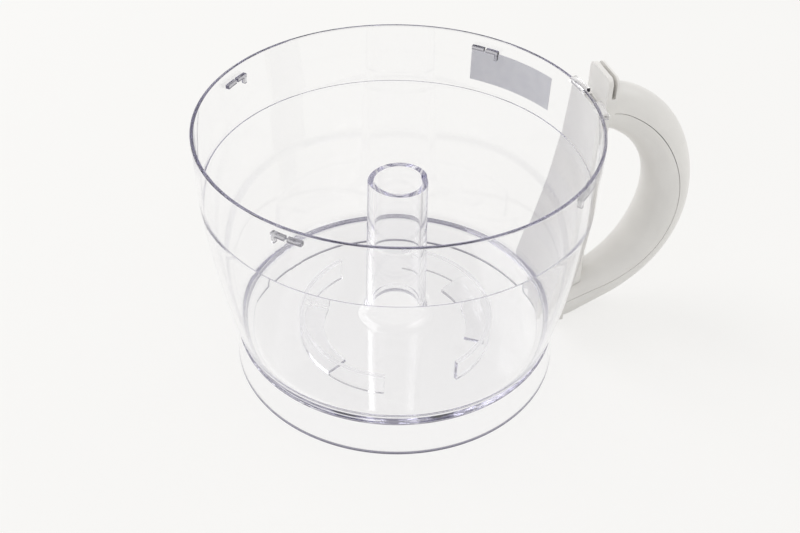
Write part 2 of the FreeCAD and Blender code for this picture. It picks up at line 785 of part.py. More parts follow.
notch_half = housing_half + size.rod_clearance
notch_outer_x = housing_outer_x + size.rod_clearance
notch_foot = size.housing_foot_height - size.rod_clearance
for shell in (outer_shell, inner_shell):
    foot_hole = circle(
        shell, shell.Label + "_hole_outline", "XY_Plane", rod_centre_x, 0.0, size.foot_hole_radius,
        {"z": size.rod_shoulder_height})
    extruded(shell, "Pocket", shell.Label + "_hole", foot_hole, 2.0 * size.rod_shoulder_height)
    notch_outline = outline(shell, shell.Label + "_notch_outline", "XY_Plane", [
        (wall_foot_radius, -notch_half),
        (notch_outer_x, -notch_half),
        (notch_outer_x, notch_half),
        (wall_foot_radius, notch_half),
    ], shift={"z": fin_foot})
    extruded(shell, "Pocket", shell.Label + "_notch", notch_outline, fin_foot - notch_foot)

# Interlock rod: a blade on a round stem

rod = new_body("interlock_rod")
rod_half = size.rod_width / 2.0
rod_top = size.rim_height - size.rod_top_drop
blade_outline = outline(rod, "blade_outline", "XY_Plane", [
    (rod_inner_x, -rod_half),
    (rod_outer_x, -rod_half),
    (rod_outer_x, rod_half),
    (rod_inner_x, rod_half),
], shift={"z": size.rod_shoulder_height})
extruded(rod, "Pad", "blade", blade_outline, rod_top - size.rod_shoulder_height)
stem_outline = circle(
    rod, "stem_outline", "XY_Plane", rod_centre_x, 0.0, size.stem_radius, {"z": size.stem_foot_height})
extruded(rod, "Pad", "stem", stem_outline, size.rod_shoulder_height - size.stem_foot_height)

# Return spring around the stem

spring_foot = channel_foot + size.spring_seat_gap + size.spring_wire_radius
spring_height = size.rod_shoulder_height - size.spring_seat_gap - size.spring_wire_radius - spring_foot
coil_steps = int(round(size.spring_turns.value * SPRING_STEPS))
coil_points = []
for step in range(coil_steps + 1):
    angle = 2.0 * math.pi * step / SPRING_STEPS
    coil_points.append(FreeCAD.Vector(
        spring_radius.value * math.cos(angle),
        spring_radius.value * math.sin(angle),
        spring_height.value * step / coil_steps))
coil_path = Part.makePolygon(coil_points)
first_run = coil_points[1].sub(coil_points[0]).normalize()
outward = FreeCAD.Vector(1, 0, 0)
across = first_run.cross(outward).normalize()
wire_points = []
for corner in range(WIRE_SIDES + 1):
    angle = 2.0 * math.pi * corner / WIRE_SIDES
    swing = across.cross(first_run).multiply(size.spring_wire_radius.value * math.cos(angle))
    swing = swing.add(FreeCAD.Vector(across).multiply(size.spring_wire_radius.value * math.sin(angle)))
    wire_points.append(coil_points[0].add(swing))
spring = doc.addObject("Part::Feature", "interlock_spring")
spring.Label = "interlock_spring"
spring.Shape = coil_path.makePipeShell([Part.makePolygon(wire_points)], True, False, 1)
spring.Placement.Base = FreeCAD.Vector(rod_centre_x.value, 0, spring_foot.value)

# Blank label on the outside of the band

label = new_body("label")
label_top = size.rim_height - size.label_drop
label_bottom = label_top - size.label_height
label_inner = size.label_gap
label_outer = size.label_gap + size.label_thickness
label_section = outline(label, "label_section", "XZ_Plane", [
    (band_radius_at(label_bottom, label_inner), label_bottom),
    (band_radius_at(label_bottom, label_outer), label_bottom),
    (band_radius_at(label_top, label_outer), label_top),
    (band_radius_at(label_top, label_inner), label_top),
], turn=(ABOUT_UP, size.label_start + size.label_sweep / 2.0))
turned(label, "Revolution", "label_film", label_section, size.label_sweep)

doc.recompute()

# Every object is checked before any file is written

for item in doc.Objects:
    if "Invalid" in item.State or "Error" in item.State:
        raise RuntimeError("%s failed: %s" % (item.Name, item.State))
bodies = [bowl, strap, outer_shell, inner_shell, rod, spring, label]
for body in bodies:
    if body.Shape.isNull() or not body.Shape.isValid():
        raise RuntimeError("%s has no valid shape" % body.Label)

os.makedirs("parts", exist_ok=True)
for body in bodies:
    body.Shape.exportStep("parts/%s.step" % body.Label)
    box = body.Shape.BoundBox
    print("%-20s %10.1f mm3  %d solids  x %.1f %.1f  y %.1f %.1f  z %.1f %.1f" % (
        body.Label, body.Shape.Volume, len(body.Shape.Solids),
        box.XMin, box.XMax, box.YMin, box.YMax, box.ZMin, box.ZMax))
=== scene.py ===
import math

import bmesh
import bpy
from mathutils import Matrix, Vector


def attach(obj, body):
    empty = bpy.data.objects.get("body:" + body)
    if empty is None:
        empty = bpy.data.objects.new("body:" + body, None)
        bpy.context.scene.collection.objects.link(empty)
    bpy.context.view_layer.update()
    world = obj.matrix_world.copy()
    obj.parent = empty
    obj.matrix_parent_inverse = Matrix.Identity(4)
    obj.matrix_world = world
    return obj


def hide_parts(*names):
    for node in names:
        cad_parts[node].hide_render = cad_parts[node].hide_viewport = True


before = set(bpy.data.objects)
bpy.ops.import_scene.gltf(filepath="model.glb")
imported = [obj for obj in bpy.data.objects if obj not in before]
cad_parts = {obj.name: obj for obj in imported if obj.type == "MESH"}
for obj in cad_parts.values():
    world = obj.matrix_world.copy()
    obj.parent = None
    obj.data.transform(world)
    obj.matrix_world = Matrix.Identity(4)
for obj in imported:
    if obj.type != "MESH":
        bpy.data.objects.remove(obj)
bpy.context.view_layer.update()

# Looks of the food processor bowl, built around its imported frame.
# Sizes are millimetres here and become metres when a mesh is made.

MM = 0.001

# Sizes of the clear bowl, as the solids have them

RIM_RADIUS = 93.0
RIM_HEIGHT = 132.5
FILL_RADIUS = 92.3
FILL_HEIGHT = 101.0
WALL_FOOT_RADIUS = 79.3
JUNCTION_HEIGHT = 19.0
WALL_BOW_RADIUS = 495.0
WALL = 2.2
BAND = 1.7
FLOOR_HEIGHT = 21.0
FLOOR = 2.3
FLOOR_ROUND = 7.0
BASE_RADIUS = 81.3
SKIRT_STEP = 0.6
SKIRT = 1.9
CHIMNEY_HEIGHT = 100.5
CHIMNEY_RADIUS = 14.2
CHIMNEY_FOOT_RADIUS = 15.2
CHIMNEY_FLARE = 6.5
CHIMNEY_BORE_TOP = 11.4
CHIMNEY_BORE_FOOT = 12.8
SHOULDER_HEIGHT = 65.0
SHOULDER = 0.9
CHIMNEY_RAMP = 1.8
FLOOR_UNDER = FLOOR_HEIGHT - FLOOR
COUPLING_RADIUS = 49.4
COUPLING = 2.1
COUPLING_FOOT = FLOOR_UNDER - 11.2
COUPLING_SWEEP = 136.0
FLANGE_WIDTH = 10.5
FLANGE = 1.8
FLANGE_SWEEP = 64.0
LUG_AZIMUTH = 45.0
LUG_HEIGHT = 126.0
LUG_THICKNESS = 1.8
LUG_REACH = 2.2
LUG_SWEEP = 4.2
LUG_SPACING = 5.0
LUG_STOP_SWEEP = 0.9
LUG_STOP_DROP = 3.2
EAR_RADIUS = 95.9
EAR_THICKNESS = 2.8
EAR_SWEEP = 23.0
TONGUE_SLOT_WIDTH = 12.4
TONGUE_SLOT_START = 93.15

# Sizes of the handle

HANDLE_ROOT_X = 101.9
HANDLE_ROOT_Z = 125.3
ARM_BEND_RADIUS = 20.0
ARM_TURN = 25.0
GRIP_BEND_RADIUS = 57.1
GRIP_TURN = 131.0
HALF_WIDTHS = (8.5, 14.3, 9.5)
OUTER_DEPTHS = (12.0, 9.8, 16.0)
INNER_DEPTHS = (11.6, 13.7, 8.3)
SHELL_WALL = 2.2
SEAM_GAP = 0.3
SEAT_CLEARANCE = 9.95
SEAT_FOOT_HEIGHT = 0.8
HOUSING_NOTCH_HALF = 7.3
HOUSING_NOTCH_X = 99.1
HOUSING_NOTCH_FOOT = 9.7
STEM_X = 94.7
FOOT_HOLE_RADIUS = 2.4
FOOT_HOLE_TOP = 44.0

RING_STEPS = 288
ROUND_STEP = 0.6
SHARP_ANGLE = math.radians(32.0)
FULL_WEIGHT = 100


# Meshes

def arc(centre_x, centre_z, radius, first, last, steps):
    """Points on an arc of a section, between two angles in degrees."""
    points = []
    for step in range(steps + 1):
        turn = math.radians(first + (last - first) * step / steps)
        points.append((centre_x + radius * math.cos(turn), centre_z + radius * math.sin(turn)))
    return points


def rounded(corners):
    """Closed outline through (x, z, radius) corners, each eased by its radius."""
    points = []
    count = len(corners)
    for number, (x, z, radius) in enumerate(corners):
        here = Vector((x, z))
        if radius == 0.0:
            points.append((x, z))
            continue
        before = Vector(corners[number - 1][:2]) - here
        after = Vector(corners[(number + 1) % count][:2]) - here
        start = here + before.normalized() * radius
        end = here + after.normalized() * radius
        steps = max(3, math.ceil(radius / ROUND_STEP))
        for step in range(steps + 1):
            share = step / steps
            eased = start.lerp(here, share).lerp(here.lerp(end, share), share)
            points.append((eased.x, eased.y))
    return points


def object_from(name, vertices, faces):
    """Object of a mesh given in millimetres, with its faces turned outwards."""
    mesh = bpy.data.meshes.new(name)
    mesh.from_pydata([tuple(c * MM for c in v) for v in vertices], [], faces)
    work = bmesh.new()
    work.from_mesh(mesh)
    bmesh.ops.recalc_face_normals(work, faces=work.faces)
    work.to_mesh(mesh)
    work.free()
    thing = bpy.data.objects.new(name, mesh)
    bpy.context.scene.collection.objects.link(thing)
    return thing


def loft(name, rings, closed):
    """Skin over rings of as many points each; an open run gets flat ends."""
    vertices = [point for ring in rings for point in ring]
    size = len(rings[0])
    faces = []
    spans = len(rings) if closed else len(rings) - 1
    for span in range(spans):
        low = span * size
        high = (span + 1) % len(rings) * size
        for corner in range(size):
            after = (corner + 1) % size
            faces.append((low + corner, low + after, high + after, high + corner))
    if not closed:
        faces.append(tuple(range(size)))
        faces.append(tuple(reversed(range(len(vertices) - size, len(vertices)))))
    return object_from(name, vertices, faces)


def turned(name, profile, azimuth=0.0, sweep=360.0):
    """Solid of revolution about the bowl axis, whole or even about an azimuth."""
    whole = sweep == 360.0
    steps = RING_STEPS if whole else max(2, round(RING_STEPS * sweep / 360.0))
    rings = []
    for step in range(steps if whole else steps + 1):
        turn = math.radians(azimuth - sweep / 2.0 + sweep * step / steps)
        rings.append([(r * math.cos(turn), r * math.sin(turn), z) for r, z in profile])
    return loft(name, rings, whole)


def block(name, low, high):
    """Box between two corners."""
    bottom = [(low[0], low[1]), (high[0], low[1]), (high[0], high[1]), (low[0], high[1])]
    return loft(name, [[(x, y, z) for x, y in bottom] for z in (low[2], high[2])], False)


def rectangle(inner, outer, bottom, top):
    return [(inner, bottom), (outer, bottom), (outer, top), (inner, top)]


def merged(target, tools, operation):
    """Carve the tools out of the target, or join them to it."""
    for tool in tools:
        cut = target.modifiers.new(tool.name, "BOOLEAN")
        cut.operation = operation
        cut.solver = "EXACT"
        cut.object = tool
    bpy.context.view_layer.update()
    graph = bpy.context.evaluated_depsgraph_get()
    mesh = bpy.data.meshes.new_from_object(target.evaluated_get(graph))
    target.modifiers.clear()
    target.data = mesh
    for tool in tools:
        bpy.data.objects.remove(tool)
    return target


def finished(piece, node, body="bowl"):
    """Smooth a piece, put it in place of its node and let it ride."""
    mesh = piece.data
    mesh.polygons.foreach_set("use_smooth", [True] * len(mesh.polygons))
    mesh.set_sharp_from_angle(angle=SHARP_ANGLE)
    even = piece.modifiers.new("even_normals", "WEIGHTED_NORMAL")
    even.weight = FULL_WEIGHT
    even.keep_sharp = True
    bpy.context.view_layer.update()
    graph = bpy.context.evaluated_depsgraph_get()
    piece.data = bpy.data.meshes.new_from_object(piece.evaluated_get(graph))
    piece.modifiers.clear()
    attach(piece, body)
    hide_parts(node)
    return piece


# Circle of the bowed wall

bow_run = FILL_RADIUS - WALL_FOOT_RADIUS
bow_rise = FILL_HEIGHT - JUNCTION_HEIGHT
bow_chord = math.hypot(bow_run, bow_rise)
bow_depth = math.sqrt(WALL_BOW_RADIUS ** 2 - bow_chord ** 2 / 4.0)
bow_centre_x = (FILL_RADIUS + WALL_FOOT_RADIUS) / 2.0 - bow_rise / bow_chord * bow_depth
bow_centre_z = (FILL_HEIGHT + JUNCTION_HEIGHT) / 2.0 + bow_run / bow_chord * bow_depth
skirt_top_radius = WALL_FOOT_RADIUS + SKIRT_STEP


def bow_radius(height, offset):
    return bow_centre_x + math.sqrt((WALL_BOW_RADIUS + offset) ** 2 - (height - bow_centre_z) ** 2)


def bow_points(bottom, top, offset, steps):
    heights = [bottom + (top - bottom) * step / steps for step in range(steps + 1)]
    return [(bow_radius(height, offset), height) for height in heights]


# Clear bowl

EDGE = 0.4
ROUND_EDGE = 0.75
FINE_EDGE = 0.2
BORE_ROUND = 7.0
BOW_STEPS = 20
ROUND_STEPS = 8


def bowl_profile():
    """Closed section of the bowl, from the foot of the skirt up the outside and back down inside."""
    inner_bow = WALL_BOW_RADIUS - WALL
    share = FLOOR_ROUND / inner_bow
    corner_z = (FLOOR_HEIGHT + FLOOR_ROUND - share * bow_centre_z) / (1.0 - share)
    corner_r = bow_radius(corner_z, -WALL)
    round_x = corner_r - FLOOR_ROUND * (corner_r - bow_centre_x) / inner_bow
    round_z = FLOOR_HEIGHT + FLOOR_ROUND
    first = -math.degrees(math.atan2(round_z - corner_z, corner_r - round_x))
    flare_x = CHIMNEY_FOOT_RADIUS + CHIMNEY_FLARE
    flare_z = FLOOR_HEIGHT + CHIMNEY_FLARE
    outside = bow_points(JUNCTION_HEIGHT, FILL_HEIGHT, 0.0, BOW_STEPS)
    inside = [
        *reversed(bow_points(corner_z, FILL_HEIGHT, -WALL, BOW_STEPS)),
        *arc(round_x, round_z, FLOOR_ROUND, first, -90.0, ROUND_STEPS)[1:],
        *arc(flare_x, flare_z, CHIMNEY_FLARE, -90.0, -180.0, ROUND_STEPS),
    ]
    corners = [
        (BASE_RADIUS, 0.0, ROUND_EDGE),
        (skirt_top_radius, JUNCTION_HEIGHT, FINE_EDGE),
        *[(r, z, 0.0) for r, z in outside],
        (RIM_RADIUS, RIM_HEIGHT, ROUND_EDGE),
        (RIM_RADIUS - BAND, RIM_HEIGHT, ROUND_EDGE),
        (FILL_RADIUS - BAND, FILL_HEIGHT, FINE_EDGE),
        *[(r, z, 0.0) for r, z in inside],
        (CHIMNEY_RADIUS, CHIMNEY_HEIGHT, FINE_EDGE),
        (CHIMNEY_BORE_TOP, CHIMNEY_HEIGHT, FINE_EDGE),
        (CHIMNEY_BORE_TOP, SHOULDER_HEIGHT + SHOULDER, 0.0),
        (CHIMNEY_BORE_TOP + SHOULDER, SHOULDER_HEIGHT, 0.0),
        (CHIMNEY_BORE_FOOT, FLOOR_UNDER, BORE_ROUND),
        (skirt_top_radius - SKIRT, FLOOR_UNDER, EDGE),
        (BASE_RADIUS - SKIRT, 0.0, ROUND_EDGE),
    ]
    return rounded(corners)


def chimney_ramps():
    """Two wedges that leave the end of the chimney as two ramps with a step between them."""
    length = CHIMNEY_RADIUS + CHIMNEY_FLARE
    middle = CHIMNEY_HEIGHT - CHIMNEY_RAMP / 2.0
    lift = CHIMNEY_RAMP / 2.0 * length / CHIMNEY_RADIUS
    sky = CHIMNEY_HEIGHT + CHIMNEY_RAMP
    wedges = []
    for side in (1.0, -1.0):
        high, low = middle + side * lift, middle - side * lift
        section = [(length, high), (length, sky), (-length, sky), (-length, low)]
        rings = [[(x, y, z) for x, z in section] for y in (0.0, side * length)]
        wedges.append(loft("chimney_ramp", rings, False))
    return wedges


def lid_lugs():
    """Bars and stops inside the rim, with a hook at one end."""
    inner = RIM_RADIUS - BAND - LUG_REACH
    outer = RIM_RADIUS - BAND / 2.0
    bottom = LUG_HEIGHT - LUG_THICKNESS / 2.0
    top = LUG_HEIGHT + LUG_THICKNESS / 2.0
    lugs = []
    for quarter in range(4):
        azimuth = LUG_AZIMUTH + 90.0 * quarter
        for side in (1.0, -1.0):
            bar = rectangle(inner, outer, bottom, top)
            lugs.append(turned("lug_bar", bar, azimuth + side * LUG_SPACING / 2.0, LUG_SWEEP))
        stop = rectangle(inner, outer, bottom - LUG_STOP_DROP, top - FINE_EDGE)
        turn = azimuth - LUG_SPACING / 2.0 - LUG_SWEEP / 2.0 + LUG_STOP_SWEEP / 2.0
        lugs.append(turned("lug_stop", stop, turn + FINE_EDGE, LUG_STOP_SWEEP))
    return lugs


def rim_ear():
    inner = RIM_RADIUS - BAND / 2.0
    section = rectangle(inner, EAR_RADIUS, RIM_HEIGHT - EAR_THICKNESS, RIM_HEIGHT - ROUND_EDGE)
    return turned("rim_ear", section, 0.0, EAR_SWEEP)


def tongue_slot():
    half = TONGUE_SLOT_WIDTH / 2.0
    low = (TONGUE_SLOT_START, -half, RIM_HEIGHT - 2.0 * EAR_THICKNESS)
    high = (EAR_RADIUS + EAR_THICKNESS, half, RIM_HEIGHT + EAR_THICKNESS)
    return block("tongue_slot", low, high)


def coupling_arcs():
    """Two arcs under the floor, each with a flange along its lower edge."""
    inner = COUPLING_RADIUS - COUPLING
    arcs = []
    for azimuth in (0.0, 180.0):
        wall = rectangle(inner, COUPLING_RADIUS, COUPLING_FOOT, FLOOR_UNDER + FLOOR / 2.0)
        arcs.append(turned("coupling_wall", wall, azimuth, COUPLING_SWEEP))
        outer = inner + COUPLING / 2.0
        flange = rectangle(inner - FLANGE_WIDTH, outer, COUPLING_FOOT, COUPLING_FOOT + FLANGE)
        arcs.append(turned("coupling_flange", flange, azimuth, FLANGE_SWEEP))
    return arcs


def clear_bowl():
    bowl = turned("clear_bowl", bowl_profile())
    merged(bowl, chimney_ramps(), "DIFFERENCE")
    merged(bowl, lid_lugs() + coupling_arcs() + [rim_ear()], "UNION")
    merged(bowl, [tongue_slot()], "DIFFERENCE")
    return finished(bowl, "bowl_body")


# Handle shells

SECTION_STEPS = 28
PATH_STEP = 2.4


def handle_path(first=0.0, foot=True):
    """Points (x, z), leans and shares of the way along the grip, from its root down to the wall."""
    turns = (ARM_TURN, GRIP_TURN)
    radii = (ARM_BEND_RADIUS, GRIP_BEND_RADIUS)
    slope = math.radians(ARM_TURN + GRIP_TURN)
    stations = []
    x, z, heading, run = HANDLE_ROOT_X, HANDLE_ROOT_Z, 0.0, 0.0
    for radius, turn in zip(radii, turns):
        steps = math.ceil(math.radians(turn) * radius / PATH_STEP)
        centre_x = x - radius * math.sin(math.radians(heading))
        centre_z = z - radius * math.cos(math.radians(heading))
        for step in range(steps):
            lean = math.radians(heading + turn * step / steps)
            reach = run + radius * math.radians(turn) * step / steps
            here_x = centre_x + radius * math.sin(lean)
            here_z = centre_z + radius * math.cos(lean)
            stations.append((here_x, here_z, lean, reach))
        heading += turn
        run += radius * math.radians(turn)
        x = centre_x + radius * math.sin(math.radians(heading))
        z = centre_z + radius * math.cos(math.radians(heading))
    stations.append((x, z, slope, run))
    foot_length = (x - WALL_FOOT_RADIUS) / -math.cos(slope)
    length = run + foot_length
    if foot:
        steps = math.ceil(foot_length / PATH_STEP)
        for step in range(1, steps + 1):
            reach = foot_length * step / steps
            stations.append((x + reach * math.cos(slope), z - reach * math.sin(slope), slope, run + reach))
    return [(x, z, lean, run / length) for x, z, lean, run in stations if run >= first]


def swelling(sizes, share):
    """Size that runs from its root to its foot value and reaches its grip value half way."""
    root, grip, foot = sizes
    swell = math.sin(math.pi * share) ** 2
    return root + (foot - root) * share + (grip - (root + foot) / 2.0) * swell


def half_oval(side, depths, wall, stations):
    """Rings of half-oval sections; those of a cavity lie a wall inside and run past the seam."""
    lift = 0.0 if side > 0 else -SEAM_GAP
    if wall:
        lift -= side * SEAM_GAP
    rings = []
    for x, z, lean, share in stations:
        half = swelling(HALF_WIDTHS, share) - wall
        depth = swelling(depths, share) - wall
        ring = []
        for step in range(SECTION_STEPS + 1):
            turn = math.pi * step / SECTION_STEPS
            out = side * depth * math.sin(turn) + lift
            ring.append((x + out * math.sin(lean), half * math.cos(turn), z + out * math.cos(lean)))
        rings.append(ring)
    return rings


def wall_ring(offset):
    """Ring with the shape of the wall, offset outwards, that trims the foot of the shells."""
    skirt_slope = (BASE_RADIUS - skirt_top_radius) / JUNCTION_HEIGHT
    depth = FLOOR_HEIGHT
    top = FOOT_HOLE_TOP
    outline = [
        (WALL_FOOT_RADIUS / 2.0, -depth),
        (BASE_RADIUS + offset + skirt_slope * depth, -depth),
        (skirt_top_radius + offset, JUNCTION_HEIGHT),
        *bow_points(JUNCTION_HEIGHT + SKIRT_STEP, top, offset, BOW_STEPS),
        (WALL_FOOT_RADIUS / 2.0, top),
    ]
    return turned("wall_ring", outline)


def stem_hole():
    rim = [(STEM_X + FOOT_HOLE_RADIUS * math.cos(math.tau * step / 32),
            FOOT_HOLE_RADIUS * math.sin(math.tau * step / 32)) for step in range(32)]
    return loft("stem_hole", [[(x, y, z) for x, y in rim] for z in (-FOOT_HOLE_TOP, FOOT_HOLE_TOP)], False)


def handle_shell(name, side, depths):
    """Hollow shell with a solid foot that is cut to its seat, to the rod housing and for the stem."""
    shell = loft(name, half_oval(side, depths, 0.0, handle_path()), False)
    cavity_stations = handle_path(SHELL_WALL, False)
    cavity = loft("cavity", half_oval(side, depths, SHELL_WALL, cavity_stations), False)
    low = (WALL_FOOT_RADIUS / 2.0, -HOUSING_NOTCH_HALF, HOUSING_NOTCH_FOOT)
    high = (HOUSING_NOTCH_X, HOUSING_NOTCH_HALF, 2.0 * FOOT_HOLE_TOP)
    below = block(
        "below", (0.0, -RIM_RADIUS, -RIM_HEIGHT), (2.0 * RIM_RADIUS, RIM_RADIUS, SEAT_FOOT_HEIGHT))
    tools = [cavity, wall_ring(SEAT_CLEARANCE), block("housing_notch", low, high), stem_hole(), below]
    return merged(shell, tools, "DIFFERENCE")


def outer_shell():
    shell = handle_shell("outer_grip_shell", 1.0, OUTER_DEPTHS)
    return finished(shell, "handle_outer_shell")


def inner_shell():
    shell = handle_shell("inner_grip_shell", -1.0, INNER_DEPTHS)
    return finished(shell, "handle_inner_shell")


# Materials

def material(name):
    made = bpy.data.materials.new(name)
    made.use_nodes = True
    nodes = made.node_tree.nodes
    return made, nodes, made.node_tree.links, nodes["Principled BSDF"]


def noise(nodes, links, scale, detail):
    """Noise over the object's own coordinates, in metres."""
    place = nodes.new("ShaderNodeTexCoord")
    texture = nodes.new("ShaderNodeTexNoise")
    texture.inputs["Scale"].default_value = scale
    texture.inputs["Detail"].default_value = detail
    links.new(place.outputs["Object"], texture.inputs["Vector"])
    return texture.outputs["Fac"]


COLOUR_A = 6
COLOUR_B = 7
COLOUR_RESULT = 2


def colour_between(nodes, links, factor, first, second, low=0.35, high=0.65):
    ramp = nodes.new("ShaderNodeValToRGB")
    ramp.color_ramp.elements[0].position = low
    ramp.color_ramp.elements[0].color = (*first, 1.0)
    ramp.color_ramp.elements[1].position = high
    ramp.color_ramp.elements[1].color = (*second, 1.0)
    links.new(factor, ramp.inputs["Fac"])
    return ramp.outputs["Color"]


def mixed(nodes, links, factor, first, second):
    """One colour or the other, the background's where no second is given."""
    mix = nodes.new("ShaderNodeMix")
    mix.data_type = "RGBA"
    mix.inputs[COLOUR_B].default_value = BACKGROUND
    links.new(factor, mix.inputs["Factor"])
    links.new(first, mix.inputs[COLOUR_A])
    if second:
        links.new(second, mix.inputs[COLOUR_B])
    return mix.outputs[COLOUR_RESULT]


def value_between(nodes, links, factor, low, high):
    spread = nodes.new("ShaderNodeMapRange")
    spread.inputs["To Min"].default_value = low
    spread.inputs["To Max"].default_value = high
    links.new(factor, spread.inputs["Value"])
    return spread.outputs["Result"]


def bumped(nodes, links, height, strength, distance, shader):
    bump = nodes.new("ShaderNodeBump")
    bump.inputs["Strength"].default_value = strength
    bump.inputs["Distance"].default_value = distance
    links.new(height, bump.inputs["Height"])
    links.new(bump.outputs["Normal"], shader.inputs["Normal"])


MOTTLE = 0.04


def moulded_plastic(name, light, dark, roughness):
    """Opaque moulded plastic with a faint mottle and a fine grain."""
    made, nodes, links, shader = material(name)
    mottle = noise(nodes, links, 60.0, 3.0)
    polish = value_between(nodes, links, mottle, roughness - MOTTLE, roughness + MOTTLE)
    links.new(colour_between(nodes, links, mottle, light, dark), shader.inputs["Base Color"])
    links.new(polish, shader.inputs["Roughness"])
    bumped(nodes, links, noise(nodes, links, 2600.0, 2.0), 0.12, 0.00005, shader)
    shader.inputs["IOR"].default_value = 1.5
    shader.inputs["Subsurface Weight"].default_value = 0.0
    return made


def share_past(nodes, links, value, start, end):
    """Nothing before the start, all of it past the end, both in millimetres."""
    spread = nodes.new("ShaderNodeMapRange")
    spread.inputs["From Min"].default_value = start * MM
    spread.inputs["From Max"].default_value = end * MM
    links.new(value, spread.inputs["Value"])
    return spread.outputs["Result"]


def calculated(nodes, links, operation, first, second):
    made = nodes.new("ShaderNodeMath")
    made.operation = operation
    links.new(first, made.inputs[0])
    links.new(second, made.inputs[1])
    return made.outputs["Value"]


LEVEL = (1.0, 1.0, 0.0)
# Heights and radii, in millimetres, of the painted edge shade on the clear plastic: the skirt's foot, the
# lugs and the rim.
FOOT_SHADE = (1.3, 0.9)
LUG_SHADE = (LUG_HEIGHT - 9.0, LUG_HEIGHT + 3.0)
RIM_SHADE = (RIM_HEIGHT - 0.9, RIM_HEIGHT + 1.6)
BAND_INSIDE = (RIM_RADIUS - BAND - 0.3, RIM_RADIUS - BAND - 0.5)


def painted_edge_shade(nodes, links):
    """Share of the painted dark edge shade: all of it on the foot of the skirt, a part on the lugs and the
    rim.
    """
    place = nodes.new("ShaderNodeTexCoord")
    split = nodes.new("ShaderNodeSeparateXYZ")
    links.new(place.outputs["Object"], split.inputs["Vector"])
    height = split.outputs["Z"]
    level = nodes.new("ShaderNodeVectorMath")
    level.operation = "MULTIPLY"
    level.inputs[1].default_value = LEVEL
    links.new(place.outputs["Object"], level.inputs[0])
    radius = nodes.new("ShaderNodeVectorMath")
    radius.operation = "LENGTH"
    links.new(level.outputs["Vector"], radius.inputs[0])
    foot = share_past(nodes, links, height, *FOOT_SHADE)
    high = share_past(nodes, links, height, *LUG_SHADE)
    inside = share_past(nodes, links, radius.outputs["Value"], *BAND_INSIDE)
    lugs = calculated(nodes, links, "MULTIPLY", high, inside)
    rim = share_past(nodes, links, height, *RIM_SHADE)
    return calculated(nodes, links, "MAXIMUM", calculated(nodes, links, "MAXIMUM", foot, lugs), rim)


def clear_plastic():
    """Clear styrene with a faint indigo tint, and painted shade along its edges, where the base colour goes
    dark indigo.
    """
    made, nodes, links, shader = material("clear_plastic")
    edges = painted_edge_shade(nodes, links)
    # Base colour runs to dark indigo on these edges: painted shade for the dark lines that refraction and
    # the long path through the plastic make there.
    edge_shaded = colour_between(nodes, links, edges, (1.0, 1.0, 1.0), (0.09, 0.085, 0.13), 0.0, 1.0)
    links.new(edge_shaded, shader.inputs["Base Color"])
    shader.inputs["Transmission Weight"].default_value = 1.0
    shader.inputs["IOR"].default_value = 1.57
    smear = noise(nodes, links, 35.0, 2.0)
    links.new(value_between(nodes, links, smear, 0.0, 0.03), shader.inputs["Roughness"])
    tint = nodes.new("ShaderNodeVolumeAbsorption")
    tint.inputs["Color"].default_value = (0.40, 0.38, 0.56, 1.0)
    tint.inputs["Density"].default_value = 8.0
    output = nodes["Material Output"]
    links.new(tint.outputs["Volume"], output.inputs["Volume"])
    see_through = nodes.new("ShaderNodeBsdfTransparent")
    see_through.inputs["Color"].default_value = (0.965, 0.965, 0.975, 1.0)
    path = nodes.new("ShaderNodeLightPath")
    either = nodes.new("ShaderNodeMath")
    either.operation = "MAXIMUM"
    links.new(path.outputs["Is Shadow Ray"], either.inputs[0])
    links.new(path.outputs["Is Diffuse Ray"], either.inputs[1])
    mix = nodes.new("ShaderNodeMixShader")
    links.new(either.outputs["Value"], mix.inputs["Fac"])
    links.new(shader.outputs["BSDF"], mix.inputs[1])
    links.new(see_through.outputs["BSDF"], mix.inputs[2])
    links.new(mix.outputs["Shader"], output.inputs["Surface"])
    return made


def spring_steel():
    made, nodes, links, shader = material("spring_steel")
    shader.inputs["Metallic"].default_value = 1.0
    streaks = noise(nodes, links, 900.0, 4.0)
    colour = colour_between(nodes, links, streaks, (0.62, 0.62, 0.64), (0.5, 0.5, 0.52))
    links.new(colour, shader.inputs["Base Color"])
    links.new(value_between(nodes, links, streaks, 0.22, 0.38), shader.inputs["Roughness"])
    return made


def label_film():
    """Bare grey film with a faint unevenness."""
    made, nodes, links, shader = material("label_film")
    cloud = noise(nodes, links, 220.0, 3.0)
    colour = colour_between(nodes, links, cloud, (0.66, 0.66, 0.69), (0.71, 0.71, 0.73))
    links.new(colour, shader.inputs["Base Color"])
    links.new(value_between(nodes, links, cloud, 0.42, 0.55), shader.inputs["Roughness"])
    bumped(nodes, links, noise(nodes, links, 1500.0, 2.0), 0.1, 0.00003, shader)
    return made


def give(thing, made):
    """Put one material on a piece or on a carried-over node."""
    thing.data.materials.clear()
    thing.data.materials.append(made)


# Stage, light and camera

FLOOR_SIZE = 6.0
BACKGROUND = (0.96, 0.952, 0.935, 1.0)
GLOW_SHARE = 0.75


